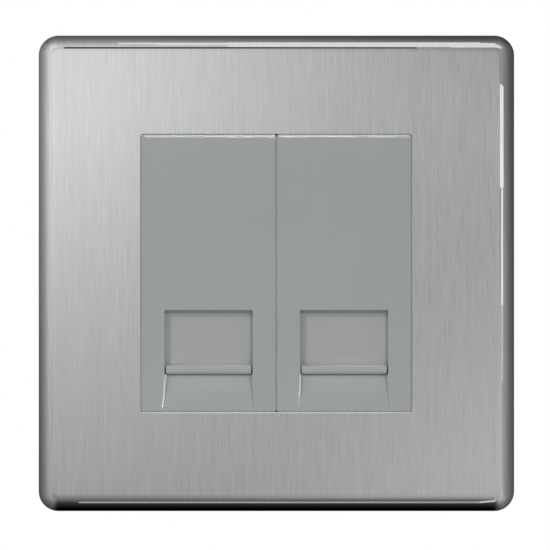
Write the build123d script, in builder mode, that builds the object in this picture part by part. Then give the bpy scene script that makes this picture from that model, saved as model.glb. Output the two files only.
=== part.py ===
from build123d import *
from math import hypot, radians, tan
import os

# Double telephone socket: a clip-on steel plate, a mounting frame for a wall box and two shuttered modules.
# Sizes are in millimetres. X runs right, Y into the wall and Z up, and the wall plane is y = 0.
# A level is a distance in front of the wall plane, so what lies in the wall box has a negative level.

# Steel plate
plate_size = 86.0
plate_depth = 4.5
sheet = 0.8
plate_corner = 3.6
plate_edge_round = 3.2
opening_corner = 0.5
opening_edge_round = 0.15
rounding_margin = 0.05

# Module faces and the gaps around them
module_width = 24.43
module_height = 50.12
module_split = 0.03
module_side_gap = 0.03
module_end_gap = 0.03
module_proud = 0.1
module_corner = 0.5
face_bevel = 0.28
face_bevel_depth = 0.18
front_wall = 1.4

# Window for the plug and the scoop below it
window_width = 15.9
window_height = 11.64
window_corner = 0.25
scoop_margin = 0.83
scoop_height = 5.95
scoop_depth = 1.2
scoop_flare = 0.87
scoop_draft = 3.0
scoop_bevel = 0.25
scoop_bevel_depth = 0.1
ramp_wall = 1.1

# Shutter and its spring
shutter_play = 0.15
shutter_overlap = 0.8
shutter_thickness = 1.2
shutter_travel = 9.0
lip_height = 1.55
lip_gap = 0.05
lip_side_gap = 0.28
lip_setback = 0.1
lip_round = 0.7
lip_edge_round = 0.2
runner_width = 1.0
spring_diameter = 2.4
spring_wire = 0.3
spring_turns = 10
spring_reserve = 3.0
spring_block_width = 4.4
spring_block_height = 2.6
peg_length = 2.0
peg_play = 0.15
seat_thickness = 1.5

# Mounting frame and the hooks that hold the modules in it
frame_thickness = 2.2
frame_edge_gap = 0.9
frame_corner = 2.2
frame_web = 1.2
frame_rib = 1.5
neck_inset = 0.6
neck_end_inset = 2.15
neck_corner = 1.0
neck_wall = 1.3
neck_play = 0.15
hook_width = 5.0
hook_spacing = 12.0
hook_reach = 0.9
hook_recess = 0.9
hook_play = 0.1
hook_room = 0.3
hook_taper = 2.6
slit_width = 0.6
slit_length = 7.0

# Liner that holds the steel plate on the frame
liner_thickness = 1.3
liner_inset = 0.4
liner_corner = 2.0
liner_clearance = 1.2
leg_spacing = 66.0
leg_width = 6.0
leg_thickness = 1.4
leg_play = 0.15
leg_tip = 0.3
leg_floor = 0.3

# Screws into the wall box
fixing_centres = 60.3
thread_radius = 1.75
screw_neck_radius = 1.45
screw_head_radius = 3.3
screw_head_height = 1.7
screw_hole_radius = 1.9
screw_play = 0.1
screw_length = 24.0
thread_start = 0.3
thread_tip = 0.5
drive_width = 0.9
drive_depth = 0.8
level_slot = 2.4
boss_half_height = 7.0

# Plug tunnel and the plate that guides the shutter from behind
plug_width = 12.8
plug_height = 8.4
plug_depth = 10.0
plug_drop = 0.4
mouth_bevel = 0.5
tunnel_wall = 1.2
tunnel_corner = 0.6
guide_plate = 1.0
insert_play = 0.15
housing_rib = 1.0
housing_rib_depth = 3.0
housing_rib_spacing = 9.0
latch_length = 4.0
latch_height = 3.2
latch_setback = 2.4

# Contact strips, circuit board and terminals
ways = 6
contact_pitch = 1.5
contact_width = 0.7
contact_thickness = 0.3
contact_play = 0.1
contact_setback = 2.2
contact_fold = 0.9
contact_fall = 1.8
contact_run = 5.8
contact_bend = 0.4
contact_tail = 0.8
board_thickness = 1.6
board_top_margin = 0.4
pin_hole_radius = 0.55
idc_side_gap = 0.4
idc_margin = 0.4
idc_height = 9.0
idc_depth = 6.6
idc_drop = 9.06
idc_wire_slot = 1.0
idc_slot_depth = 4.4
idc_corner = 0.4
blade_gap = 0.7
blade_thickness = 0.4
blade_play = 0.1
blade_setback = 1.0
blade_fork = 0.4
blade_fork_depth = 3.0
blade_tail = 0.6

# Rear cover
cover_thickness = 1.4
cover_skirt = 1.5
cover_wall = 1.2
cover_window_play = 0.2
cover_edge = 0.5
arm_width = 6.0
arm_length = 4.6
arm_hook = 0.7
arm_hook_length = 1.4
arm_play = 0.15

# Levels, from the room into the wall box
liner_front = plate_depth - sheet
liner_back = liner_front - liner_thickness
face_level = plate_depth + module_proud
wall_back = face_level - front_wall
shutter_front = wall_back - shutter_play
shutter_back = shutter_front - shutter_thickness
guide_front = wall_back - spring_diameter - 2 * shutter_play
runner_back = guide_front + shutter_play
spring_level = (wall_back + guide_front) / 2
guide_back = guide_front - guide_plate
tunnel_floor = guide_front - plug_depth
housing_back = tunnel_floor - tunnel_wall
board_back = housing_back - board_thickness
neck_end = board_back - cover_skirt
idc_back = board_back - idc_depth
arm_front = neck_end + arm_length
screw_top = frame_thickness - screw_play
hook_level = hook_recess - hook_play

# Outlines across the object
module_pitch = module_width + module_split
opening_width = 2 * module_width + module_split + 2 * module_side_gap
opening_height = module_height + 2 * module_end_gap
face_edge = min(face_bevel, module_corner - rounding_margin)
plate_roll = min(plate_edge_round, plate_corner - rounding_margin, plate_depth - sheet)
liner_size = plate_size - 2 * (plate_roll + liner_inset)
liner_opening_width = opening_width + 2 * liner_clearance
liner_opening_height = opening_height + 2 * liner_clearance
frame_size = plate_size - 2 * (sheet + frame_edge_gap)
neck_width = module_width - 2 * neck_inset
neck_height = module_height - 2 * neck_end_inset
frame_opening_width = module_pitch + neck_width + 2 * neck_play
frame_opening_height = neck_height + 2 * neck_play
cavity_width = neck_width - 2 * neck_wall
cavity_height = neck_height - 2 * neck_wall
insert_width = cavity_width - 2 * insert_play

# Heights, from the centre of the plate
scoop_bottom = scoop_margin - module_height / 2
window_bottom = scoop_bottom + scoop_height
window_top = window_bottom + window_height
window_middle = (window_top + window_bottom) / 2
scoop_width = window_width - 2 * scoop_bevel
shutter_top = window_top + shutter_overlap
shutter_bottom = window_bottom + lip_gap
shutter_width = window_width + 2 * shutter_overlap
lip_width = window_width - 2 * lip_side_gap
spring_seat = shutter_top + shutter_travel + spring_turns * spring_wire + spring_reserve
seat_top = spring_seat + seat_thickness
peg_radius = spring_diameter / 2 - spring_wire - peg_play
plug_middle = window_bottom + plug_drop + plug_height / 2
tunnel_width = plug_width + 2 * tunnel_wall
tunnel_height = plug_height + 2 * tunnel_wall
insert_bottom = insert_play - cavity_height / 2
board_bottom = insert_bottom + cover_wall + 2 * insert_play
board_top = seat_top + board_top_margin
contact_top = plug_middle + plug_height / 2 - contact_play - contact_thickness / 2
idc_middle = board_top - idc_drop
idc_width = insert_width - 2 * (cover_wall + idc_side_gap)
idc_pitch = (idc_width - 2 * idc_margin) / ways
blade_width = idc_pitch - blade_gap


def face_plane(level, x=0.0):
    """Plane parallel to the wall and facing the room, with its local X right and its local Y up."""
    return Plane(origin=(x, -level, 0), x_dir=(1, 0, 0), z_dir=(0, -1, 0))


def side_plane(x):
    """Plane across the object at x, with the level as its local X and the height as its local Y."""
    return Plane(origin=(x, 0, 0), x_dir=(0, -1, 0), z_dir=(-1, 0, 0))


def make_front_plate():
    """Pressed steel shell with a rolled edge and one opening for both modules."""
    with BuildPart() as front_plate:
        with BuildSketch(face_plane(0)):
            RectangleRounded(plate_size, plate_size, plate_corner)
        extrude(amount=plate_depth)
        fillet(front_plate.faces().sort_by(Axis.Y)[0].edges(), plate_roll)
        offset(amount=-sheet, openings=front_plate.faces().sort_by(Axis.Y)[-1])
        with BuildSketch(face_plane(plate_depth)):
            RectangleRounded(opening_width, opening_height, opening_corner)
        extrude(amount=-plate_depth, mode=Mode.SUBTRACT)
        front_face = front_plate.faces().filter_by(Axis.Y).sort_by(Axis.Y)[0]
        fillet(front_face.inner_wires()[0].edges(), opening_edge_round)
    return front_plate


def make_clip_frame():
    """Moulded liner behind the steel, with four legs that push into the mounting frame."""
    with BuildPart() as clip_frame:
        with BuildSketch(face_plane(liner_front)):
            RectangleRounded(liner_size, liner_size, liner_corner)
            Rectangle(liner_opening_width, liner_opening_height, mode=Mode.SUBTRACT)
        extrude(amount=-liner_thickness)
        with BuildSketch(face_plane(liner_back)):
            with GridLocations(leg_spacing, leg_spacing, 2, 2):
                Rectangle(leg_width, leg_thickness)
        extrude(amount=leg_floor - liner_back)
        tips = clip_frame.faces().sort_by(Axis.Y)[-4:]
        chamfer(tips.edges(), leg_tip)
    return clip_frame


def make_mounting_frame():
    """Moulded frame on the wall box: module openings, leg slots, hook recesses, screw holes and coring."""
    pocket_inner = frame_opening_height / 2 + hook_reach + hook_room + frame_rib
    pocket_outer = frame_size / 2 - frame_rib
    pocket_row = (pocket_inner + pocket_outer) / 2
    row_length = leg_spacing - leg_width - 2 * leg_play - 2 * frame_rib
    pocket_pitch = (row_length + frame_rib) / 3
    side_inner = frame_opening_width / 2 + frame_rib
    side_column = (side_inner + pocket_outer) / 2
    side_height = pocket_inner - frame_rib - boss_half_height
    side_row = boss_half_height + side_height / 2
    with BuildPart() as mounting_frame:
        with BuildSketch(face_plane(0)):
            RectangleRounded(frame_size, frame_size, frame_corner)
            with GridLocations(module_pitch, 0, 2, 1):
                Rectangle(neck_width + 2 * neck_play, frame_opening_height, mode=Mode.SUBTRACT)
            with GridLocations(leg_spacing, leg_spacing, 2, 2):
                Rectangle(leg_width + 2 * leg_play, leg_thickness + 2 * leg_play, mode=Mode.SUBTRACT)
        extrude(amount=frame_thickness)
        with BuildSketch(face_plane(0)):
            with GridLocations(pocket_pitch, 2 * pocket_row, 3, 2):
                RectangleRounded(pocket_pitch - frame_rib, pocket_outer - pocket_inner, frame_rib / 2)
            with GridLocations(2 * side_column, 2 * side_row, 2, 2):
                RectangleRounded(pocket_outer - side_inner, side_height, frame_rib / 2)
        extrude(amount=frame_thickness - frame_web, mode=Mode.SUBTRACT)
        with BuildSketch(face_plane(0)):
            with GridLocations(module_pitch, frame_opening_height, 2, 2):
                with GridLocations(hook_spacing, 0, 2, 1):
                    Rectangle(hook_width + 2 * hook_room, 2 * (hook_reach + hook_room))
        extrude(amount=hook_recess, mode=Mode.SUBTRACT)
        sink_radius = screw_head_radius + screw_play
        with Locations(face_plane(frame_thickness, -fixing_centres / 2)):
            CounterSinkHole(screw_hole_radius, sink_radius, counter_sink_angle=90)
        with BuildSketch(face_plane(frame_thickness, fixing_centres / 2)):
            SlotCenterToCenter(level_slot, 2 * screw_hole_radius, rotation=90)
        extrude(amount=-frame_thickness, mode=Mode.SUBTRACT)
        with BuildSketch(face_plane(frame_thickness, fixing_centres / 2)):
            SlotCenterToCenter(level_slot, 2 * sink_radius, rotation=90)
        extrude(amount=screw_hole_radius - sink_radius, taper=45, mode=Mode.SUBTRACT)
    return mounting_frame


def make_box_screws():
    """The two countersunk box screws, each with a plain neck in the frame and its thread behind it."""
    tip = screw_length - screw_top
    cone_end = screw_head_height - screw_top
    with BuildPart() as box_screws:
        for x in (-fixing_centres / 2, fixing_centres / 2):
            with BuildSketch(Plane.XY):
                with BuildLine():
                    Polyline(
                        (x, -screw_top),
                        (x + screw_head_radius, -screw_top),
                        (x + screw_neck_radius, cone_end),
                        (x + screw_neck_radius, thread_start),
                        (x + thread_radius, thread_start),
                        (x + thread_radius, tip - thread_tip),
                        (x + thread_radius - thread_tip, tip),
                        (x, tip),
                        close=True,
                    )
                make_face()
            revolve(axis=Axis((x, 0, 0), (0, 1, 0)))
            with BuildSketch(face_plane(screw_top, x)):
                Rectangle(2 * screw_head_radius, drive_width)
            extrude(amount=-drive_depth, mode=Mode.SUBTRACT)
    return box_screws


def make_scoop(x):
    """Wedge that the scoop takes out of a module's face: deepest at the window, flared towards the bottom."""
    scoop_top = window_bottom + scoop_depth
    floor = face_level - scoop_depth
    with BuildPart() as scoop:
        with BuildSketch(face_plane(face_level, x)):
            with BuildLine():
                Polyline(
                    (-scoop_width / 2, scoop_top),
                    (scoop_width / 2, scoop_top),
                    (scoop_width / 2, window_bottom),
                    ((scoop_width + scoop_flare) / 2, scoop_bottom),
                    (-(scoop_width + scoop_flare) / 2, scoop_bottom),
                    (-scoop_width / 2, window_bottom),
                    close=True,
                )
            make_face()
        extrude(amount=-scoop_depth, taper=scoop_draft)
        with BuildSketch(side_plane(x)):
            with BuildLine():
                Polyline(
                    (floor, window_bottom),
                    (face_level, scoop_bottom),
                    (floor, scoop_bottom),
                    close=True,
                )
            make_face()
        extrude(amount=window_width, both=True, mode=Mode.SUBTRACT)

        # Shallow bevels along the two flared sides
        bevel_foot = scoop_bevel_depth * tan(radians(scoop_draft))
        for side in (-1, 1):
            bevel_start = (x + side * scoop_width / 2, -face_level, window_bottom)
            bevel_run = (side * scoop_flare / 2, 0, -scoop_height)
            with BuildSketch(Plane(origin=bevel_start, x_dir=(0, 1, 0), z_dir=bevel_run)):
                with BuildLine():
                    Polyline(
                        (0, 0),
                        (scoop_bevel_depth, -side * bevel_foot),
                        (0, side * scoop_bevel),
                        close=True,
                    )
                make_face()
            extrude(amount=hypot(scoop_flare / 2, scoop_height))
    return scoop


def make_module_body(x):
    """Moulded module: face with window and scoop, neck through the frame, shutter guides and snap hooks."""
    ramp_top = face_level - scoop_depth
    ramp_end = window_bottom - scoop_height * (wall_back - ramp_top + ramp_wall) / scoop_depth
    ledge = (cavity_width - shutter_width) / 2 - shutter_play
    ledge_bottom = window_bottom - ramp_wall
    tongue_length = slit_length - slit_width
    scoop = make_scoop(x)
    with BuildPart() as module_body:
        with BuildSketch(face_plane(frame_thickness, x)):
            RectangleRounded(module_width, module_height, module_corner)
        extrude(amount=face_level - frame_thickness)
        front_face = module_body.faces().sort_by(Axis.Y)[0]
        chamfer(front_face.edges(), face_edge, face_bevel_depth, reference=front_face)
        with BuildSketch(face_plane(frame_thickness, x)):
            RectangleRounded(neck_width, neck_height, neck_corner)
        extrude(amount=neck_end - frame_thickness)
        with BuildSketch(face_plane(wall_back, x)):
            Rectangle(cavity_width, cavity_height)
        extrude(amount=neck_end - wall_back, mode=Mode.SUBTRACT)

        # Guide ledges on both sides of the shutter, closed at the top by the spring's seat
        with BuildSketch(face_plane(wall_back, x)):
            with Locations((0, (seat_top + ledge_bottom) / 2)):
                with GridLocations(cavity_width - ledge, 0, 2, 1):
                    Rectangle(ledge, seat_top - ledge_bottom)
            with Locations((0, spring_seat + seat_thickness / 2)):
                Rectangle(cavity_width, seat_thickness)
        extrude(amount=guide_front - wall_back)
        with BuildSketch(Plane.XY.offset(spring_seat)):
            with Locations((x, -spring_level)):
                Circle(peg_radius)
        extrude(amount=-peg_length)

        # Ramp of even thickness behind the scoop, then the window and the scoop themselves
        with BuildSketch(side_plane(x)):
            with BuildLine():
                Polyline(
                    (ramp_top, window_bottom),
                    (wall_back, ramp_end),
                    (ramp_top - ramp_wall, window_bottom),
                    close=True,
                )
            make_face()
        extrude(amount=window_width / 2 + ramp_wall, both=True)
        with BuildSketch(face_plane(face_level, x)):
            with Locations((0, window_middle)):
                RectangleRounded(window_width, window_height, window_corner)
        extrude(amount=-front_wall, mode=Mode.SUBTRACT)
        add(scoop.part, mode=Mode.SUBTRACT)

        for end in (1, -1):
            edge = end * neck_height / 2

            # Snap hooks behind the frame, each on a tongue inside a U-shaped slit
            for hook_x in (x - hook_spacing / 2, x + hook_spacing / 2):
                with BuildSketch(Plane.XY.offset(edge)):
                    with Locations((hook_x, slit_length / 2 - frame_thickness)):
                        Rectangle(hook_width + 2 * slit_width, slit_length)
                    with Locations((hook_x, tongue_length / 2 - frame_thickness)):
                        Rectangle(hook_width, tongue_length, mode=Mode.SUBTRACT)
                extrude(amount=-end * neck_wall, mode=Mode.SUBTRACT)
                with BuildSketch(side_plane(hook_x)):
                    with BuildLine():
                        Polyline(
                            (hook_level, edge),
                            (hook_level, edge + end * hook_reach),
                            (hook_level - hook_taper, edge),
                            close=True,
                        )
                    make_face()
                extrude(amount=hook_width / 2, both=True)

            # Window that an arm of the rear cover snaps into
            with BuildSketch(Plane.XY.offset(edge)):
                with Locations((x, arm_hook_length / 2 - arm_front)):
                    Rectangle(arm_width + 2 * arm_play, arm_hook_length + 2 * arm_play)
            extrude(amount=-end * neck_wall, mode=Mode.SUBTRACT)
    return module_body


def make_shutter(x):
    """Sliding shutter: face plate with a lip, two runners and a block that carries the spring's peg."""
    height = shutter_top - shutter_bottom
    middle = (shutter_top + shutter_bottom) / 2
    with BuildPart() as shutter:
        with BuildSketch(face_plane(shutter_front, x)):
            with Locations((0, middle)):
                Rectangle(shutter_width, height)
        extrude(amount=-shutter_thickness)
        with BuildSketch(face_plane(shutter_front, x)):
            with Locations((0, shutter_bottom + lip_height / 2)):
                Rectangle(lip_width, lip_height)
        extrude(amount=face_level - lip_setback - shutter_front)
        lip_edges = shutter.edges().filter_by(Axis.X).group_by(Axis.Y)[0].sort_by(Axis.Z)
        fillet(lip_edges[-1], lip_edge_round)
        lip_edges = shutter.edges().filter_by(Axis.X).group_by(Axis.Y)[0].sort_by(Axis.Z)
        fillet(lip_edges[0], lip_round)
        with BuildSketch(face_plane(shutter_back, x)):
            with Locations((0, middle)):
                with GridLocations(shutter_width - runner_width, 0, 2, 1):
                    Rectangle(runner_width, height)
            with Locations((0, shutter_top - spring_block_height / 2)):
                Rectangle(spring_block_width, spring_block_height)
        extrude(amount=runner_back - shutter_back)
        with BuildSketch(Plane.XY.offset(shutter_top)):
            with Locations((x, -spring_level)):
                Circle(peg_radius)
        extrude(amount=peg_length)
    return shutter


def make_shutter_spring(x):
    """Compression coil between the shutter's block and the seat in the module."""
    length = spring_seat - shutter_top - spring_wire
    start = (x, -spring_level, shutter_top + spring_wire / 2)
    with BuildPart() as shutter_spring:
        with BuildLine() as coil:
            Helix(length / spring_turns, length, (spring_diameter - spring_wire) / 2, center=start)
        with BuildSketch(coil.line ^ 0):
            Circle(spring_wire / 2)
        sweep(path=coil.line)
    return shutter_spring


def make_jack_housing(x):
    """Plug tunnel on a plate that guides the shutter, with slots for contacts and a notch for the latch."""
    tunnel_top = plug_middle + tunnel_height / 2
    with BuildPart() as jack_housing:
        with BuildSketch(face_plane(guide_front, x)):
            with Locations((0, (seat_top + insert_bottom) / 2)):
                Rectangle(insert_width, seat_top - insert_bottom)
        extrude(amount=-guide_plate)
        with BuildSketch(face_plane(guide_back, x)):
            with Locations((0, plug_middle)):
                RectangleRounded(tunnel_width, tunnel_height, tunnel_corner)
        extrude(amount=housing_back - guide_back)
        with BuildSketch(face_plane(guide_back, x)):
            with Locations((0, (seat_top + tunnel_top) / 2)):
                with GridLocations(housing_rib_spacing, 0, 2, 1):
                    Rectangle(housing_rib, seat_top - tunnel_top)
        extrude(amount=-housing_rib_depth)
        with BuildSketch(face_plane(guide_front, x)):
            with Locations((0, plug_middle)):
                Rectangle(plug_width, plug_height)
        extrude(amount=-plug_depth, mode=Mode.SUBTRACT)
        guide_face = jack_housing.faces().sort_by(Axis.Y)[0]
        chamfer(guide_face.inner_wires()[0].edges(), mouth_bevel)
        with BuildSketch(face_plane(tunnel_floor, x)):
            with Locations((0, contact_top)):
                with GridLocations(contact_pitch, 0, ways, 1):
                    Rectangle(contact_width + 2 * contact_play, contact_thickness + 2 * contact_play)
        extrude(amount=-tunnel_wall, mode=Mode.SUBTRACT)
        with BuildSketch(side_plane(x + plug_width / 2)):
            with Locations((guide_back - latch_setback - latch_length / 2, plug_middle)):
                Rectangle(latch_length, latch_height)
        extrude(amount=-tunnel_wall, mode=Mode.SUBTRACT)
    return jack_housing


def make_contact_springs(x):
    """Row of contact strips: a pin through the board, a run along the tunnel and a sprung end folded back."""
    tail = board_back - contact_tail
    front = guide_front - contact_setback
    fold = contact_top - contact_fold
    with BuildPart() as contact_springs:
        for way in range(ways):
            with BuildSketch(side_plane(x + (way - (ways - 1) / 2) * contact_pitch)):
                with BuildLine():
                    FilletPolyline(
                        (tail, contact_top),
                        (front, contact_top),
                        (front, fold),
                        (front - contact_run, fold - contact_fall),
                        radius=contact_bend,
                    )
                trace(line_width=contact_thickness)
            extrude(amount=contact_width / 2, both=True)
    return contact_springs


def make_circuit_board(x):
    """Board behind the tunnel, drilled for the contact pins and the tails of the blades."""
    with BuildPart() as circuit_board:
        with BuildSketch(face_plane(housing_back, x)):
            with Locations((0, (board_top + board_bottom) / 2)):
                Rectangle(insert_width, board_top - board_bottom)
            for pitch, row in ((contact_pitch, contact_top), (idc_pitch, idc_middle)):
                with Locations((0, row)):
                    with GridLocations(pitch, 0, ways, 1):
                        Circle(pin_hole_radius, mode=Mode.SUBTRACT)
        extrude(amount=-board_thickness)
    return circuit_board


def make_idc_block(x):
    """Terminal block on the board: a wire slot for each way, crossed by the pocket of its blade."""
    with BuildPart() as idc_block:
        with BuildSketch(face_plane(board_back, x)):
            with Locations((0, idc_middle)):
                RectangleRounded(idc_width, idc_height, idc_corner)
                with GridLocations(idc_pitch, 0, ways, 1):
                    pocket_width = blade_width + 2 * blade_play
                    Rectangle(pocket_width, blade_thickness + 2 * blade_play, mode=Mode.SUBTRACT)
        extrude(amount=-idc_depth)
        with BuildSketch(face_plane(idc_back, x)):
            with Locations((0, idc_middle)):
                with GridLocations(idc_pitch, 0, ways, 1):
                    Rectangle(idc_wire_slot, idc_height)
        extrude(amount=idc_slot_depth, mode=Mode.SUBTRACT)
    return idc_block


def make_idc_blades(x):
    """Forked blades of the terminal block, each with a tail through the board."""
    front = -board_back
    tail = -housing_back - blade_tail
    back = -idc_back - blade_setback
    with BuildPart() as idc_blades:
        with BuildSketch(Plane.XY.offset(idc_middle)):
            with Locations((x, 0)):
                with GridLocations(idc_pitch, 0, ways, 1):
                    with Locations((0, (front + back) / 2)):
                        Rectangle(blade_width, back - front)
                    with Locations((0, (tail + front) / 2)):
                        Rectangle(blade_tail, front - tail)
                    with Locations((0, back - blade_fork_depth / 2)):
                        Rectangle(blade_fork, blade_fork_depth, mode=Mode.SUBTRACT)
        extrude(amount=blade_thickness / 2, both=True)
    return idc_blades


def make_rear_cover(x):
    """Cap on the neck, with a skirt that holds the board, a window for the block and two snap arms."""
    skirt_height = cavity_height - 2 * insert_play
    arm_catch = arm_front - arm_hook_length
    with BuildPart() as rear_cover:
        with BuildSketch(face_plane(neck_end, x)):
            RectangleRounded(neck_width, neck_height, neck_corner)
        extrude(amount=-cover_thickness)
        chamfer(rear_cover.faces().sort_by(Axis.Y)[-1].edges(), cover_edge)
        with BuildSketch(face_plane(neck_end, x)):
            Rectangle(insert_width, skirt_height)
            Rectangle(insert_width - 2 * cover_wall, skirt_height - 2 * cover_wall, mode=Mode.SUBTRACT)
        extrude(amount=cover_skirt)
        for end in (1, -1):
            outer = end * skirt_height / 2
            inner = outer - end * cover_wall
            with BuildSketch(side_plane(x)):
                with BuildLine():
                    Polyline(
                        (neck_end, outer),
                        (arm_catch, outer),
                        (arm_catch, outer + end * arm_hook),
                        (arm_front, outer),
                        (arm_front, inner),
                        (neck_end, inner),
                        close=True,
                    )
                make_face()
            extrude(amount=arm_width / 2, both=True)
        with BuildSketch(face_plane(neck_end, x)):
            with Locations((0, idc_middle)):
                Rectangle(idc_width + 2 * cover_window_play, idc_height + 2 * cover_window_play)
        extrude(amount=-cover_thickness, mode=Mode.SUBTRACT)
    return rear_cover


def write_piece(piece, name):
    """Label a finished piece and write its STEP file."""
    piece.part.label = name
    export_step(piece.part, f"parts/{name}.step")


os.makedirs("parts", exist_ok=True)
write_piece(make_front_plate(), "front_plate")
write_piece(make_clip_frame(), "clip_frame")
write_piece(make_mounting_frame(), "mounting_frame")
write_piece(make_box_screws(), "box_screws")
for side, module_x in (("left", -module_pitch / 2), ("right", module_pitch / 2)):
    write_piece(make_module_body(module_x), f"module_body_{side}")
    write_piece(make_shutter(module_x), f"shutter_{side}")
    write_piece(make_shutter_spring(module_x), f"shutter_spring_{side}")
    write_piece(make_jack_housing(module_x), f"jack_housing_{side}")
    write_piece(make_contact_springs(module_x), f"contact_springs_{side}")
    write_piece(make_circuit_board(module_x), f"circuit_board_{side}")
    write_piece(make_idc_block(module_x), f"idc_block_{side}")
    write_piece(make_idc_blades(module_x), f"idc_blades_{side}")
    write_piece(make_rear_cover(module_x), f"rear_cover_{side}")
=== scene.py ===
from math import cos, pi, radians, sin

import bmesh
import bpy
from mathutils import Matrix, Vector


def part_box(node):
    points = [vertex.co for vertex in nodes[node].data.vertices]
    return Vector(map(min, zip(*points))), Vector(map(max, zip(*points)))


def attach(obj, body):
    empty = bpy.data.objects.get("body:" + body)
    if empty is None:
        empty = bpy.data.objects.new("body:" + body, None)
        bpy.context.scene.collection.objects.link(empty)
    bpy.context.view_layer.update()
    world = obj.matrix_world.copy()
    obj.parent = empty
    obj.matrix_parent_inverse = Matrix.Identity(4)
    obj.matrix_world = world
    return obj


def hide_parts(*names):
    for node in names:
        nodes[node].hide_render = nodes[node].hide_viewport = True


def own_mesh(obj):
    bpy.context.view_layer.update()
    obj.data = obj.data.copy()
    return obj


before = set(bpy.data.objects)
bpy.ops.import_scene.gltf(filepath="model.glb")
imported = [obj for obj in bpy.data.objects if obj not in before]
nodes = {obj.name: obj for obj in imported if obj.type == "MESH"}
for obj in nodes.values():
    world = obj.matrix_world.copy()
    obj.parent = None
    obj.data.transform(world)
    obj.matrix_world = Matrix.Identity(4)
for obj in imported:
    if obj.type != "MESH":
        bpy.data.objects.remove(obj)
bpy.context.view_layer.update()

scene = bpy.context.scene

# Lengths are in metres, in the frame's axes: X right, Y into the wall and Z up.
MM = 0.001
SIDES = ("left", "right")

# Steel pressing, with the section of its solid and a closer gap round the modules
SHEET = 0.8 * MM
PLATE_ROLL = 3.2 * MM
PLATE_CORNER = 3.6 * MM
OPENING_CORNER = 0.5 * MM
OPENING_ROUND = 0.15 * MM
OPENING_GAP = 0.015 * MM
FLAT_MARGIN = 0.1 * MM
ROLL_STEPS = 24
EDGE_STEPS = 8
CORNER_STEPS = 12

# Box screws
THREAD_CREST = 1.75 * MM
THREAD_PITCH = 0.6 * MM
THREAD_DEPTH = 0.36 * MM
THREAD_START = 0.3 * MM
THREAD_LEAD = 0.9 * MM
THREAD_STEEPNESS = 2.3
SCREW_NECK = 1.45 * MM
SCREW_HEAD_HEIGHT = 1.7 * MM
SCREW_RIM = 0.15 * MM
SCREW_SLOT = (0.9 * MM, 0.8 * MM)
SCREW_SIDES = 40
ROWS_PER_PITCH = 8
SCREW_CENTRES = 60.3 * MM
SAME_POINT = 1e-7

# Shutter springs
SPRING_WIRE = 0.3 * MM
SPRING_TURNS = 10
SPRING_STEPS = 36
WIRE_SIDES = 10

# Angles in degrees above which an edge stays sharp
SHARP_EDGE = 30
SHARP_SCREW_EDGE = 35

# Moulded plastic, and the slope above the brow along the top of each module's face
MOULD_GRAIN = 0.09 * MM
MOULD_RELIEF = 0.0015 * MM
MOULD_EDGE = 0.08 * MM
BROW_LEVEL = 24.49 * MM
BROW_BLEND = 0.05 * MM
BROW_SLOPE = 0.268
BROW_RELIEF = 0.15

# Polish of the steel's edges, and the depths behind the face over which it takes over from the brushing
POLISH_START = 0.008 * MM
POLISH_END = 0.04 * MM
POLISH_ROUGHNESS = 0.03

# Photograph's frame
IMAGE_SIZE = 550
PIXELS_PER_METRE = 5525.6
PLATE_CENTRE_PIXEL = (276.4, 273.3)
CAMERA_DISTANCE = 1.5
SENSOR_WIDTH = 36.0
CLIP_RANGE = (0.01, 20.0)

# Floor
FLOOR_LEVEL = -0.12
FLOOR_RADIUS = 0.9
FLOOR_SIDES = 96

# Tent of cards round the object, in millimetres, which only shows in reflections
TENT_HALF = 83
TENT_FRONT = -63
TENT_BACK = 150

# Middles of the outlets and the places of their scoop lamps along X, in millimetres
OUTLET_CENTRES = (-12.23, 12.23)
SCOOP_LAMPS = (45.6, 70.1)


# Shader nodes

def add_node(tree, kind, inputs=None, **settings):
    """Add a shader node, set its properties and fill its inputs with values or other nodes' outputs."""
    made = tree.nodes.new("ShaderNode" + kind)
    for key, value in settings.items():
        setattr(made, key, value)
    for key, value in (inputs or {}).items():
        if isinstance(value, bpy.types.NodeSocket):
            tree.links.new(value, made.inputs[key])
        else:
            made.inputs[key].default_value = value
    return made


def new_material(name):
    """Material with an empty node tree, and that tree."""
    made = bpy.data.materials.new(name)
    made.use_nodes = True
    made.node_tree.nodes.clear()
    return made, made.node_tree


def finish_material(tree, shader):
    """Join a shader to the material's output."""
    add_node(tree, "OutputMaterial", {"Surface": shader.outputs[0]})


def scaled_noise(tree, lengths, detail=2.0, roughness=0.5):
    """Noise in object coordinates whose features have these lengths along X, Y and Z."""
    place = add_node(tree, "TexCoord").outputs["Object"]
    scale = [1 / length for length in lengths]
    stretched = add_node(tree, "VectorMath", {0: place, 1: scale}, operation="MULTIPLY")
    noise = add_node(
        tree,
        "TexNoise",
        {"Vector": stretched.outputs[0], "Scale": 1.0, "Detail": detail, "Roughness": roughness},
    )
    return noise.outputs["Fac"]


def object_axis(tree, axis):
    """Object coordinate along X, Y or Z."""
    place = add_node(tree, "TexCoord").outputs["Object"]
    return add_node(tree, "SeparateXYZ", {0: place}).outputs[axis]


def map_range(tree, value, low, high, start=0.3, end=0.7):
    """Value mapped from start..end to low..high."""
    mapped = add_node(
        tree,
        "MapRange",
        {"Value": value, "From Min": start, "From Max": end, "To Min": low, "To Max": high},
    )
    return mapped.outputs["Result"]


def calculate(tree, operation, first, second):
    """Result of a sum, product or other operation on two values."""
    return add_node(tree, "Math", {0: first, 1: second}, operation=operation).outputs[0]


def mix_value(tree, factor, first, second):
    """Value between first and second by factor."""
    mixed = add_node(tree, "Mix", {"Factor": factor, "A": first, "B": second}, data_type="FLOAT")
    return next(socket for socket in mixed.outputs if socket.type == "VALUE")


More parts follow.
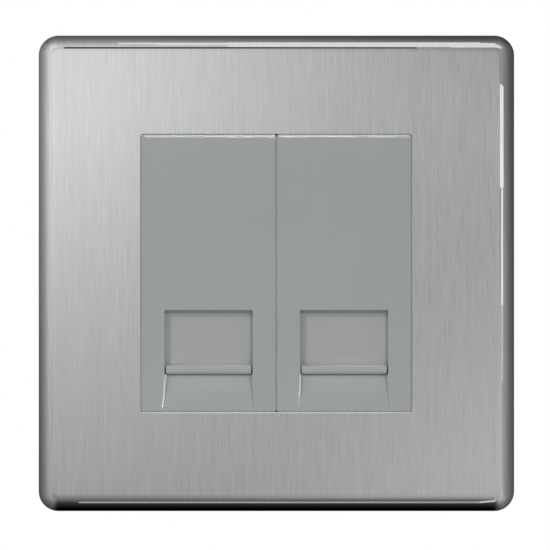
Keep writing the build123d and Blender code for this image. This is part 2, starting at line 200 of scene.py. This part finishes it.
def mix_color(tree, factor, first, second):
    """Colour between first and second by factor."""
    mixed = add_node(tree, "Mix", {"Factor": factor}, data_type="RGBA")
    targets = [socket for socket in mixed.inputs if socket.type == "RGBA"]
    for target, color in zip(targets, (first, second)):
        if isinstance(color, bpy.types.NodeSocket):
            tree.links.new(color, target)
        else:
            target.default_value = (*color, 1.0)
    return next(socket for socket in mixed.outputs if socket.type == "RGBA")


def tint(color, factor):
    """Colour made lighter or darker by a factor."""
    return tuple(channel * factor for channel in color)


def vary(tree, noise, color, share):
    """Colour that noise makes lighter and darker by up to a share."""
    factor = map_range(tree, noise, 0.0, 1.0)
    return mix_color(tree, factor, tint(color, 1 - share), tint(color, 1 + share))


# Materials

def moulded_plastic(name, color, gloss, brow=None):
    """Moulded plastic: spark-eroded grain, faint flow marks, rounded edges, and a slope above a brow."""
    made, tree = new_material(name)
    fine = scaled_noise(tree, (MOULD_GRAIN,) * 3, detail=3.0, roughness=0.6)
    flow = scaled_noise(tree, (9 * MM, 9 * MM, 14 * MM))
    shade = mix_color(tree, 0.5, vary(tree, flow, color, 0.025), vary(tree, fine, color, 0.04))
    normal = add_node(tree, "Bevel", {"Radius": MOULD_EDGE}, samples=4).outputs[0]
    relief = 1.0
    if brow:
        height = object_axis(tree, "Z")
        above = map_range(tree, height, 0.0, 1.0, brow - BROW_BLEND, brow + BROW_BLEND)
        lean = add_node(tree, "CombineXYZ", {"Z": map_range(tree, above, 0.0, BROW_SLOPE, 0.0, 1.0)})
        slope = add_node(tree, "VectorMath", {0: normal, 1: lean.outputs[0]}, operation="ADD")
        unit = add_node(tree, "VectorMath", {0: slope.outputs[0]}, operation="NORMALIZE")
        normal = unit.outputs[0]
        relief = map_range(tree, above, 1.0, BROW_RELIEF, 0.0, 1.0)
    bump = add_node(
        tree,
        "Bump",
        {"Height": fine, "Normal": normal, "Distance": MOULD_RELIEF, "Strength": relief},
    )
    shader = add_node(
        tree,
        "BsdfPrincipled",
        {
            "Base Color": shade,
            "Roughness": map_range(tree, fine, gloss - 0.05, gloss + 0.05),
            "Normal": bump.outputs[0],
        },
    )
    finish_material(tree, shader)
    return made


def plain_metal(name, color, roughness):
    """Small metal part: cloudy plating, fine drawing marks and uneven gloss."""
    made, tree = new_material(name)
    fine = scaled_noise(tree, (0.25 * MM,) * 3, detail=3.0, roughness=0.6)
    cloud = scaled_noise(tree, (1.6 * MM,) * 3)
    shade = mix_color(tree, map_range(tree, cloud, 0.0, 1.0), tint(color, 0.88), tint(color, 1.08))
    bump = add_node(tree, "Bump", {"Height": fine, "Distance": 0.001 * MM, "Strength": 1.0})
    shader = add_node(
        tree,
        "BsdfPrincipled",
        {
            "Base Color": shade,
            "Metallic": 1.0,
            "Roughness": map_range(tree, fine, roughness - 0.07, roughness + 0.07),
            "Normal": bump.outputs[0],
        },
    )
    finish_material(tree, shader)
    return made


def brushed_steel(name, color, face):
    """Stainless sheet brushed up and down, whose edges, behind the face, are polished smoother."""
    made, tree = new_material(name)
    depth = object_axis(tree, "Y")
    edges = map_range(tree, depth, 0.0, 1.0, face + POLISH_START, face + POLISH_END)
    hair = scaled_noise(tree, (0.16 * MM, 0.16 * MM, 7 * MM), roughness=0.6)
    band = scaled_noise(tree, (0.9 * MM, 0.9 * MM, 40 * MM))
    streak = mix_value(tree, 0.25, hair, band)
    relief = map_range(tree, edges, 1.0, 0.05, 0.0, 1.0)
    bump = add_node(tree, "Bump", {"Height": hair, "Distance": 0.0012 * MM, "Strength": relief})
    tangent = add_node(tree, "Tangent", direction_type="UV_MAP", uv_map="Brush")
    shader = add_node(
        tree,
        "BsdfPrincipled",
        {
            "Base Color": vary(tree, streak, color, 0.12),
            "Metallic": 1.0,
            "Roughness": mix_value(tree, edges, map_range(tree, hair, 0.26, 0.34), POLISH_ROUGHNESS),
            "Anisotropic": 0.65,
            "Tangent": tangent.outputs[0],
            "Normal": bump.outputs[0],
        },
    )
    finish_material(tree, shader)
    return made


def circuit_laminate(name, color):
    """Green solder mask with the lighter copper runs showing through it."""
    made, tree = new_material(name)
    cells = add_node(
        tree,
        "TexVoronoi",
        {"Vector": add_node(tree, "TexCoord").outputs["Object"], "Scale": 1 / (1.9 * MM)},
        distance="CHEBYCHEV",
        feature="DISTANCE_TO_EDGE",
    )
    run = map_range(tree, cells.outputs["Distance"], 1.0, 0.0, 0.08, 0.14)
    weave = scaled_noise(tree, (0.3 * MM,) * 3)
    shade = mix_color(tree, run, color, tint(color, 1.5))
    shader = add_node(
        tree,
        "BsdfPrincipled",
        {"Base Color": shade, "Roughness": map_range(tree, weave, 0.28, 0.4)},
    )
    finish_material(tree, shader)
    return made


def dress(name, material):
    """Give a CAD node a finished material in place of its plain one."""
    target = nodes[name].data
    target.materials.clear()
    target.materials.append(material)


# Meshes

def rounded_ring(half_width, half_height, corner, level):
    """Points of a rounded rectangle at a level in front of the wall, always as many, in one order."""
    points = []
    for quarter, (side, end) in enumerate(((1, 1), (-1, 1), (-1, -1), (1, -1))):
        for step in range(CORNER_STEPS + 1):
            angle = radians(90 * (quarter + step / CORNER_STEPS))
            x = side * (half_width - corner) + corner * cos(angle)
            z = end * (half_height - corner) + corner * sin(angle)
            points.append(Vector((x, -level, z)))
    return points


def mesh_object(name, vertices, faces, material):
    """Object of a new mesh, smooth except at its sharp edges."""
    mesh = bpy.data.meshes.new(name)
    mesh.from_pydata(vertices, [], faces)
    mesh.validate()
    mesh.materials.append(material)
    mesh.shade_smooth()
    mesh.set_sharp_from_angle(angle=radians(SHARP_EDGE))
    made = bpy.data.objects.new(name, mesh)
    scene.collection.objects.link(made)
    return made


def grid_faces(rows, columns, close_rows):
    """Quads of a grid of points whose columns run round, and whose rows may join up too."""
    faces = []
    for row in range(rows if close_rows else rows - 1):
        following = (row + 1) % rows
        for column in range(columns):
            beside = (column + 1) % columns
            faces.append(
                (
                    row * columns + column,
                    row * columns + beside,
                    following * columns + beside,
                    following * columns + column,
                )
            )
    return faces


def make_plate(material):
    """Pressed plate: rolled edge, flat face, rounded opening, and the inside of the sheet."""
    low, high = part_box("front_plate")
    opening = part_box("module_body_right")[1]
    half = high.x
    face = -low.y
    roll_level = face - PLATE_ROLL
    opening_width = opening.x + OPENING_GAP
    opening_height = opening.z + OPENING_GAP

    def outline(inset, level):
        """Ring of the plate's outline, moved in by an inset."""
        return rounded_ring(half - inset, half - inset, PLATE_CORNER - inset, level)

    def opening_ring(grow, level):
        """Ring of the opening, grown on all sides."""
        return rounded_ring(opening_width + grow, opening_height + grow, OPENING_CORNER + grow, level)

    rings = [outline(0.0, -high.y)]
    for step in range(ROLL_STEPS + 1):
        turn = radians(90 * step / ROLL_STEPS)
        rings.append(outline(PLATE_ROLL * (1 - cos(turn)), roll_level + PLATE_ROLL * sin(turn)))
    flat = half - PLATE_ROLL - FLAT_MARGIN
    rings.append(rounded_ring(flat, flat, PLATE_CORNER - PLATE_ROLL, face))
    rings.append(opening_ring(OPENING_ROUND + FLAT_MARGIN, face))
    for step in range(EDGE_STEPS + 1):
        turn = radians(90 * step / EDGE_STEPS)
        level = face - OPENING_ROUND * (1 - cos(turn))
        rings.append(opening_ring(OPENING_ROUND * (1 - sin(turn)), level))
    rings.append(opening_ring(0.0, face - SHEET))
    inner_roll = PLATE_ROLL - SHEET
    for step in range(ROLL_STEPS, -1, -1):
        turn = radians(90 * step / ROLL_STEPS)
        rings.append(outline(SHEET + inner_roll * (1 - cos(turn)), roll_level + inner_roll * sin(turn)))
    rings.append(outline(SHEET, -high.y))

    vertices = [point for ring in rings for point in ring]
    faces = grid_faces(len(rings), len(rings[0]), True)
    plate = mesh_object("steel_plate", vertices, faces, material)
    layer = plate.data.uv_layers.new(name="Brush")
    for loop in plate.data.loops:
        x, y, z = plate.data.vertices[loop.vertex_index].co
        stretch = 1 + (y + face) / half
        layer.data[loop.index].uv = (x * stretch / half, z * stretch / half)
    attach(plate, "plate")
    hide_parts("front_plate")
    return plate


def thread_rows(tip):
    """Rows of reach and depth round the thread, which fades in below the neck and out at the tip."""
    rows = []
    count = round((tip - THREAD_START) / THREAD_PITCH * ROWS_PER_PITCH)
    for step in range(count + 1):
        y = THREAD_START + (tip - THREAD_START) * step / count
        lead = min(1.0, (tip - y) / THREAD_LEAD, (y - THREAD_START) / THREAD_LEAD)
        row = []
        for column in range(SCREW_SIDES):
            phase = (y / THREAD_PITCH - column / SCREW_SIDES) % 1.0
            ridge = max(0.0, 1.0 - abs(phase - 0.5) * THREAD_STEEPNESS)
            row.append((THREAD_CREST - THREAD_DEPTH + THREAD_DEPTH * lead * ridge, y))
        rows.append(row)
    return rows


def make_screws(material):
    """Countersunk box screws with a rolled thread and a slotted head."""
    low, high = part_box("box_screws")
    radius = high.z
    top = low.y
    tip = high.y
    profile = [(0.0, top), (radius - SCREW_RIM, top), (radius, top + SCREW_RIM)]
    profile += [(SCREW_NECK, top + SCREW_HEAD_HEIGHT), (SCREW_NECK, THREAD_START)]
    rows = [[point] * SCREW_SIDES for point in profile]
    rows += thread_rows(tip)
    rows.append([(0.0, tip)] * SCREW_SIDES)
    mesh = bmesh.new()
    for side in (-1, 1):
        centre = side * SCREW_CENTRES / 2
        grid = []
        for row in rows:
            ring = []
            for column, (reach, y) in enumerate(row):
                angle = 2 * pi * column / SCREW_SIDES
                ring.append(mesh.verts.new((centre + reach * cos(angle), y, reach * sin(angle))))
            grid.append(ring)
        for first, second in zip(grid, grid[1:]):
            for column in range(SCREW_SIDES):
                beside = (column + 1) % SCREW_SIDES
                mesh.faces.new((first[column], second[column], second[beside], first[beside]))
    bmesh.ops.remove_doubles(mesh, verts=mesh.verts, dist=SAME_POINT)
    bmesh.ops.recalc_face_normals(mesh, faces=mesh.faces)
    data = bpy.data.meshes.new("box_screws_threaded")
    mesh.to_mesh(data)
    mesh.free()
    data.materials.append(material)
    data.shade_smooth()
    data.set_sharp_from_angle(angle=radians(SHARP_SCREW_EDGE))
    screws = bpy.data.objects.new("box_screws_threaded", data)
    scene.collection.objects.link(screws)
    slots = make_slot_cutter(radius, top)
    cut = screws.modifiers.new("slots", "BOOLEAN")
    cut.object = slots
    cut.operation = "DIFFERENCE"
    cut.solver = "EXACT"
    bpy.context.view_layer.update()
    evaluated = screws.evaluated_get(bpy.context.evaluated_depsgraph_get())
    screws.data = bpy.data.meshes.new_from_object(evaluated)
    screws.modifiers.clear()
    bpy.data.objects.remove(slots)
    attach(screws, "base")
    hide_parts("box_screws")


def make_slot_cutter(radius, top):
    """Two bars, longer than the heads are wide, that cut the screwdriver slots."""
    mesh = bmesh.new()
    width, depth = SCREW_SLOT
    for side in (-1, 1):
        made = bmesh.ops.create_cube(mesh, size=1.0)["verts"]
        bmesh.ops.scale(mesh, verts=made, vec=(2.2 * radius, 2 * depth, width))
        bmesh.ops.translate(mesh, verts=made, vec=(side * SCREW_CENTRES / 2, top, 0.0))
    data = bpy.data.meshes.new("slot_cutter")
    mesh.to_mesh(data)
    mesh.free()
    cutter = bpy.data.objects.new("slot_cutter", data)
    scene.collection.objects.link(cutter)
    return cutter


def make_spring(side, material):
    """Coil of the shutter's spring, drawn at rest on a mesh of its own; the spring closes up as the
    shutter rises.
    """
    low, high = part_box(f"shutter_spring_{side}")
    axis = (low + high) / 2
    radius = (high.x - low.x - SPRING_WIRE) / 2
    bottom = low.z + SPRING_WIRE / 2
    rise = high.z - low.z - SPRING_WIRE
    total = SPRING_TURNS * SPRING_STEPS
    vertices = []
    for step in range(total + 1):
        angle = 2 * pi * step / SPRING_STEPS
        outward = Vector((cos(angle), sin(angle), 0.0))
        centre = Vector((axis.x, axis.y, bottom + rise * step / total)) + radius * outward
        for corner in range(WIRE_SIDES):
            turn = 2 * pi * corner / WIRE_SIDES
            offset = outward * cos(turn) + Vector((0.0, 0.0, sin(turn)))
            vertices.append(centre + offset * SPRING_WIRE / 2)
    faces = grid_faces(total + 1, WIRE_SIDES, False)
    faces.append(tuple(range(WIRE_SIDES - 1, -1, -1)))
    faces.append(tuple(range(total * WIRE_SIDES, (total + 1) * WIRE_SIDES)))
    spring = mesh_object(f"spring_coil_{side}", vertices, faces, material)
    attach(spring, "base")
    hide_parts(f"shutter_spring_{side}")
    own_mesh(spring)


# Reflections in the steel, with lengths in millimetres

def add_grading(tree, direction, stops):
    """Value that follows stops of distance and value along a direction."""
    near, far = stops[0][0], stops[-1][0]
    strongest = max(value for _, value in stops)
    place = add_node(tree, "NewGeometry").outputs["Position"]
    along = add_node(tree, "VectorMath", {0: place, 1: direction}, operation="DOT_PRODUCT")
    share = map_range(tree, along.outputs["Value"], 0.0, 1.0, near * MM, far * MM)
    ramp = add_node(tree, "ValToRGB", {"Fac": share})
    elements = ramp.color_ramp.elements
    while len(elements) < len(stops):
        elements.new(0.5)
    for element, (distance, value) in zip(elements, stops):
        element.position = (distance - near) / (far - near)
        element.color = (*[value / strongest] * 3, 1.0)
    return calculate(tree, "MULTIPLY", ramp.outputs["Color"], strongest)


def graded_emission(name, *gradings, cover=None):
    """Emission that is the product of gradings, clear where the grading of its cover is 0."""
    made, tree = new_material(name)
    level = add_grading(tree, *gradings[0])
    for grading in gradings[1:]:
        level = calculate(tree, "MULTIPLY", level, add_grading(tree, *grading))
    shader = add_node(tree, "Emission", {"Strength": level})
    if cover:
        clear = add_node(tree, "BsdfTransparent")
        share = add_grading(tree, *cover)
        shader = add_node(tree, "MixShader", {0: share, 1: clear.outputs[0], 2: shader.outputs[0]})
    finish_material(tree, shader)
    return made


def even_emission(name, level):
    """Emission of one strength."""
    made, tree = new_material(name)
    finish_material(tree, add_node(tree, "Emission", {"Strength": level}))
    return made


def hide_from(thing, *rays):
    """Keep an object or lamp out of sight of some kinds of ray."""
    for ray in rays:
        setattr(thing, "visible_" + ray, False)


def reflection_card(name, corners, material):
    """Studio card that only shows in glossy reflections."""
    points = [tuple(length * MM for length in corner) for corner in corners]
    card = mesh_object(name, points, [tuple(range(len(points)))], material)
    hide_from(card, "camera", "diffuse", "transmission", "volume_scatter", "shadow")


def level_card(name, z, x_range, y_range, material):
    """Level card at a height."""
    (left, right), (near, far) = x_range, y_range
    corners = [(left, near, z), (right, near, z), (right, far, z), (left, far, z)]
    reflection_card(name, corners, material)


def upright_card(name, x_range, y_range, z_range, material):
    """Upright card from its first x and y to its second ones."""
    start, end = zip(x_range, y_range)
    low, high = z_range
    reflection_card(name, [(*start, low), (*end, low), (*end, high), (*start, high)], material)


def make_walls():
    """Panel in front of the plate and four walls round it, which grade from the upper left."""
    whole = (-TENT_HALF, TENT_HALF)
    depth = (TENT_FRONT, TENT_BACK)
    diagonal, cross = (0.7071, 0, -0.7071), (0.7071, 0, 0.7071)
    rightward, inward, upward = (1, 0, 0), (0, 1, 0), (0, 0, 1)
    fall = [(-118, 1.6), (-80, 1.95), (-56, 1.54), (-30, 1.05), (-10, 0.8)]
    fall += [(8, 0.67), (24, 0.65), (42, 0.76), (60, 0.9), (118, 1.0)]
    across = [(-TENT_HALF, 0.58), (-62, 0.75), (-48, 0.94), (-40, 1.0)]
    across += [(48, 0.98), (62, 0.87), (TENT_HALF, 0.8)]
    rise = [(-TENT_HALF, 0.42), (-62, 0.67), (-46, 0.9), (-38, 1.0)]
    rise += [(30, 1.0), (45, 0.86), (58, 0.7), (TENT_HALF, 0.4)]
    lift = [(-118, 2.6), (-96, 1.45), (-84, 1.06), (-72, 1.0)]
    lift += [(72, 1.0), (84, 1.06), (96, 1.45), (118, 2.6)]
    side_fade = [(TENT_FRONT, 0.66), (-45, 0.6), (-28, 0.49), (-15, 0.375)]
    side_fade += [(-3, 0.275), (12, 0.205), (46, 0.125), (TENT_BACK, 0.08)]
    side_ends = [(-TENT_HALF, 1.2), (-58, 1.15), (-40, 1.0)]
    side_ends += [(38, 1.0), (58, 1.15), (TENT_HALF, 1.2)]
    top_fade = [(TENT_FRONT, 0.6), (-40, 0.5), (-25, 0.41), (-12, 0.27)]
    top_fade += [(0, 0.175), (18, 0.1), (46, 0.08), (TENT_BACK, 0.05)]
    top_ends = [(-TENT_HALF, 1.5), (-58, 1.35), (-41, 1.0)]
    top_ends += [(41, 1.0), (58, 1.35), (TENT_HALF, 1.5)]
    slant = (diagonal, fall)
    corners = (diagonal, lift), (cross, lift)
    panel = graded_emission("panel_light", slant, (rightward, across), (upward, rise), *corners)
    side = graded_emission("side_light", slant, (inward, side_fade), (upward, side_ends))
    top = graded_emission("top_light", slant, (inward, top_fade), (rightward, top_ends))
    bottom = graded_emission("bottom_light", slant, (inward, side_fade), (rightward, side_ends))
    upright_card("panel", whole, (TENT_FRONT, TENT_FRONT), whole, panel)
    upright_card("left_wall", (-TENT_HALF, -TENT_HALF), depth, whole, side)
    upright_card("right_wall", (TENT_HALF, TENT_HALF), depth, whole, side)
    level_card("top_wall", TENT_HALF, whole, depth, top)
    level_card("bottom_wall", -TENT_HALF, whole, depth, bottom)


def make_strips():
    """White strips and dark flags just inside the tent, for the lines along the rolled edge."""
    rightward, inward = (1, 0, 0), (0, 1, 0)
    inset = TENT_HALF - 0.5
    front = TENT_FRONT + 1

    # White strips and the dark gap below them along the top
    bright = even_emission("strip_light", 1.3)
    dim = graded_emission("gap_light", (rightward, [(-41, 0.03), (-10, 0.06), (27, 0.2)]))
    level_card("top_strip", inset, (-9.4, 39), (-53, -16), bright)
    level_card("top_half_strip", inset, (-23.4, -9.4), (-37, -18), bright)
    level_card("top_line", inset, (-30.3, -23.4), (-29, -18), bright)
    tail = [(34, -53), (34, -62), (80, -62), (80, -44), (66, -36), (50, -30), (39, -18)]
    reflection_card("top_tail", [(x, y, inset) for x, y in tail], bright)
    gap = [(-41.2, front, 72), (27.3, front, 72), (27.3, -56, inset), (-41.2, -56, inset)]
    reflection_card("top_gap", gap, dim)

    # White strip along the right, which narrows and then fades further down
    sharp = even_emission("side_strip_light", 1.5)
    faint = even_emission("side_line_light", 1.0)
    upright_card("right_strip", (62, inset), (front, -46), (16.4, 36.2), sharp)
    upright_card("right_line", (74, inset), (front, -51), (-6.2, 16.4), sharp)
    upright_card("right_end", (75, inset), (front, -54), (-21, -6.2), faint)

    # Dark flag under the bottom edge, with a thin lit line that curls up at its right end
    shown = (rightward, [(-60, 0.0), (-43, 1.0), (41, 1.0), (48, 0.6), (60, 0.0)])
    band_fade = (inward, [(-62, 0.3), (-50, 0.22), (-36, 0.2)])
    flag_fade = (inward, [(-36, 0.12), (-22.6, 0.06), (-14, 0.04), (0, 0.012), (15, 0.0)])
    band = graded_emission("band_light", band_fade, cover=shown)
    flag = graded_emission("flag_light", flag_fade, cover=shown)
    lit = even_emission("line_light", 0.6)
    curl = even_emission("curl_light", 0.95)
    over = 0.3 - inset
    level_card("bottom_band", -inset, (-62, 62), (-62, -36), band)
    level_card("bottom_flag", -inset, (-62, 62), (-36, TENT_BACK), flag)
    level_card("bottom_line", over, (-38, 39), (-35, -22.6), lit)
    bend = [(39, -35), (45, front), (49, front), (46, -44), (39, -22.6)]
    reflection_card("bottom_bend", [(x, y, over) for x, y in bend], curl)
    end = [(45, front, over), (49, front, over), (46.5, front, -47), (45, front, -47)]
    reflection_card("bottom_curl", end, curl)


# Lamps

def aim(lamp, place, towards):
    """Put a lamp at a place, facing a direction."""
    lamp.location = place
    lamp.rotation_mode = "QUATERNION"
    lamp.rotation_quaternion = towards.to_track_quat("-Z", "Y")
    scene.collection.objects.link(lamp)


def link_light(lamp, receivers):
    """Let a lamp light some objects only."""
    lamp.light_linking.receiver_collection = bpy.data.collections.new(lamp.name + "_receivers")
    for receiver in receivers:
        lamp.light_linking.receiver_collection.objects.link(receiver)


def make_glint(name, receivers, place, towards, size, level, spread=180, fill=False):
    """Lamp, in millimetres, that only shows as a glint on some objects, or only fills their shade."""
    width, height = (length * MM for length in size)
    data = bpy.data.lights.new(name, "AREA")
    data.shape = "RECTANGLE"
    data.size = width
    data.size_y = height
    data.energy = level * pi * width * height
    data.spread = radians(spread)
    lamp = bpy.data.objects.new(name, data)
    hide_from(lamp, "camera", "transmission", "volume_scatter", "glossy" if fill else "diffuse")
    link_light(lamp, receivers)
    aim(lamp, Vector(place) * MM, Vector(towards))


def make_glints(plate, modules, shutters):
    """Glints on the upper edges, the scoops' left sides and the sill, and fills at the lips and scoops."""
    make_glint(
        "upper_glint",
        modules + shutters,
        place=(0, -27, 80),
        towards=(0, 0, -1),
        size=(66, 44),
        level=9,
    )
    for module, x in zip(modules, SCOOP_LAMPS):
        make_glint(
            module.name + "_glint",
            [module],
            place=(x, -60, -10),
            towards=(-66, 55.4, -12),
            size=(8, 14),
            level=1.6,
            spread=8,
        )
    make_glint(
        "brow_glint",
        modules,
        place=(0, -35, 42.5),
        towards=(0, 30.4, -17.5),
        size=(52, 1),
        level=5.2,
        spread=40,
    )
    for module, shutter, x in zip(modules, shutters, OUTLET_CENTRES):
        make_glint(
            shutter.name + "_fill",
            [shutter],
            place=(x, -31, 11.5),
            towards=(0, 1, -1),
            size=(14, 0.8),
            level=0.45,
            spread=3,
            fill=True,
        )
        make_glint(
            module.name + "_fill",
            [module],
            place=(x, -62.6, -29.8),
            towards=(0, 5.8, 1),
            size=(13, 2.5),
            level=0.13,
            spread=4,
            fill=True,
        )
    make_glint(
        "sill_glint",
        [plate],
        place=(0, -32, 10),
        towards=(0, 28, -35),
        size=(56, 28),
        level=0.33,
        spread=50,
    )


def make_lamp(name, direction, distance, size, level, receivers=()):
    """Soft lamp that gives the plate's face this share of the plain light level."""
    towards = Vector(direction).normalized()
    data = bpy.data.lights.new(name, "AREA")
    data.shape = "DISK"
    data.size = size
    data.energy = level * pi ** 2 * distance ** 2 / -towards.y
    lamp = bpy.data.objects.new(name, data)
    hide_from(lamp, "glossy")
    if receivers:
        link_light(lamp, receivers)
    aim(lamp, towards * distance, -towards)


# Surroundings

def make_floor():
    """Plain pale floor under the object."""
    made, tree = new_material("floor_paper")
    grain = scaled_noise(tree, (3 * MM,) * 3, detail=3.0)
    shade = mix_color(tree, grain, (0.78, 0.78, 0.775), (0.82, 0.82, 0.815))
    shader = add_node(tree, "BsdfPrincipled", {"Base Color": shade, "Roughness": 0.8})
    finish_material(tree, shader)
    ring = []
    for step in range(FLOOR_SIDES):
        angle = 2 * pi * step / FLOOR_SIDES
        ring.append((FLOOR_RADIUS * cos(angle), FLOOR_RADIUS * sin(angle), FLOOR_LEVEL))
    floor = mesh_object("floor", ring, [tuple(range(FLOOR_SIDES))], made)


def make_world(ambient):
    """White surroundings for the camera and for reflections, and a plain ambient level for the rest."""
    world = bpy.data.worlds.new("studio")
    scene.world = world
    world.use_nodes = True
    tree = world.node_tree
    tree.nodes.clear()
    path = add_node(tree, "LightPath")
    seen = path.outputs["Is Camera Ray"]
    for ray in ("Is Glossy Ray", "Is Transmission Ray"):
        seen = calculate(tree, "MAXIMUM", seen, path.outputs[ray])
    level = map_range(tree, seen, ambient, 1.0, 0.0, 1.0)
    background = add_node(tree, "Background", {"Color": (1, 1, 1, 1), "Strength": level})
    add_node(tree, "OutputWorld", {"Surface": background.outputs[0]})


def make_camera():
    """Camera square to the plate, framed as in the photograph."""
    data = bpy.data.cameras.new("camera")
    camera = bpy.data.objects.new("camera", data)
    scene.collection.objects.link(camera)
    scene.camera = camera
    middle = IMAGE_SIZE / 2
    x = (middle - PLATE_CENTRE_PIXEL[0]) / PIXELS_PER_METRE
    z = (PLATE_CENTRE_PIXEL[1] - middle) / PIXELS_PER_METRE
    camera.location = (x, -CAMERA_DISTANCE, z)
    camera.rotation_euler = (radians(90), 0, 0)
    data.sensor_width = SENSOR_WIDTH
    data.lens = SENSOR_WIDTH * CAMERA_DISTANCE * PIXELS_PER_METRE / IMAGE_SIZE
    data.clip_start, data.clip_end = CLIP_RANGE


steel_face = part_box("front_plate")[0].y
steel_plate = make_plate(brushed_steel("brushed_stainless", (0.52, 0.52, 0.52), steel_face))
make_screws(plain_metal("zinc_plate", (0.62, 0.63, 0.66), roughness=0.3))
spring_wire = plain_metal("spring_wire", (0.42, 0.42, 0.43), roughness=0.3)
dark_grey = moulded_plastic("frame_moulding", (0.075, 0.078, 0.082), gloss=0.48)
black = moulded_plastic("black_moulding", (0.022, 0.022, 0.024), gloss=0.45)
outlet_finishes = {
    "module_body": moulded_plastic("grey_moulding", (0.300, 0.316, 0.320), gloss=0.32, brow=BROW_LEVEL),
    "shutter": moulded_plastic("shutter_moulding", (0.325, 0.333, 0.331), gloss=0.32),
    "jack_housing": black,
    "contact_springs": plain_metal("contact_strip", (0.72, 0.50, 0.24), roughness=0.25),
    "circuit_board": circuit_laminate("board_laminate", (0.02, 0.16, 0.06)),
    "idc_block": moulded_plastic("terminal_moulding", (0.70, 0.66, 0.55), gloss=0.4),
    "idc_blades": plain_metal("tinned_blade", (0.66, 0.65, 0.62), roughness=0.28),
    "rear_cover": dark_grey,
}
dress("clip_frame", black)
dress("mounting_frame", dark_grey)
for side in SIDES:
    make_spring(side, spring_wire)
    for piece, finish in outlet_finishes.items():
        dress(f"{piece}_{side}", finish)

make_world(ambient=0.34)
modules = [nodes[f"module_body_{side}"] for side in SIDES]
shutters = [nodes[f"shutter_{side}"] for side in SIDES]
make_lamp("upper_left_lamp", (-0.71, -1.0, 0.76), distance=3.0, size=0.3, level=0.205)
make_lamp("upper_right_lamp", (0.316, -1.0, 0.40), distance=3.0, size=0.3, level=0.235)
make_lamp(
    "lower_lamp",
    (0.0, -1.2, -1.0),
    distance=0.156,
    size=0.05,
    level=0.112,
    receivers=modules + shutters,
)
make_walls()
make_strips()
make_glints(steel_plate, modules, shutters)
make_floor()
make_camera()
scene.view_settings.view_transform = "Standard"
